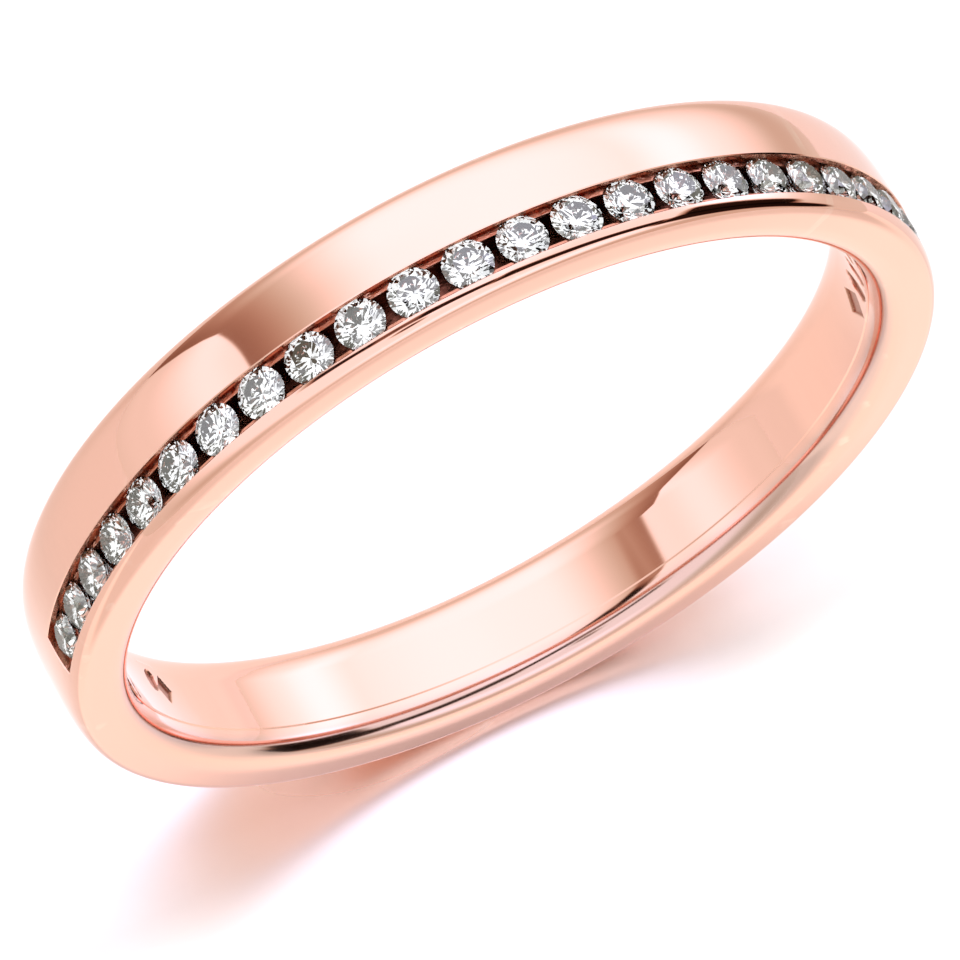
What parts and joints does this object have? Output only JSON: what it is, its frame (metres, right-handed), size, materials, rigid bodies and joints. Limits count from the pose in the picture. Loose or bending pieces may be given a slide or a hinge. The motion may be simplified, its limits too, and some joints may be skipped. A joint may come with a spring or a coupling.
{
  "type": "wedding band",
  "caption": "Half-eternity wedding band: a court-section rose-gold ring with a channel-set row of round brilliants set off centre.",
  "frame": {"origin": "centre of the ring: on the bore's axis, half way across the band's width", "axes": "+Y along the bore's axis, away from the stone row's side of the band; +Z through the middle of the stone row; +X to the right, seen from the row's side"},
  "size_m": [0.0198, 0.0028, 0.0198],
  "materials": {
    "rose_gold": "high polish",
    "diamond": "cut and polished facets"
  },
  "bodies": {
    "root": {"band": "rose_gold", "diamond_01": "diamond", "diamond_02": "diamond", "diamond_03": "diamond", "diamond_04": "diamond", "diamond_05": "diamond", "diamond_06": "diamond", "diamond_07": "diamond", "diamond_08": "diamond", "diamond_09": "diamond", "diamond_10": "diamond", "diamond_11": "diamond", "diamond_12": "diamond", "diamond_13": "diamond", "diamond_14": "diamond", "diamond_15": "diamond", "diamond_16": "diamond", "diamond_17": "diamond", "diamond_18": "diamond", "diamond_19": "diamond", "diamond_20": "diamond", "diamond_21": "diamond", "diamond_22": "diamond", "diamond_23": "diamond", "diamond_24": "diamond"}
  },
  "joints": []
}
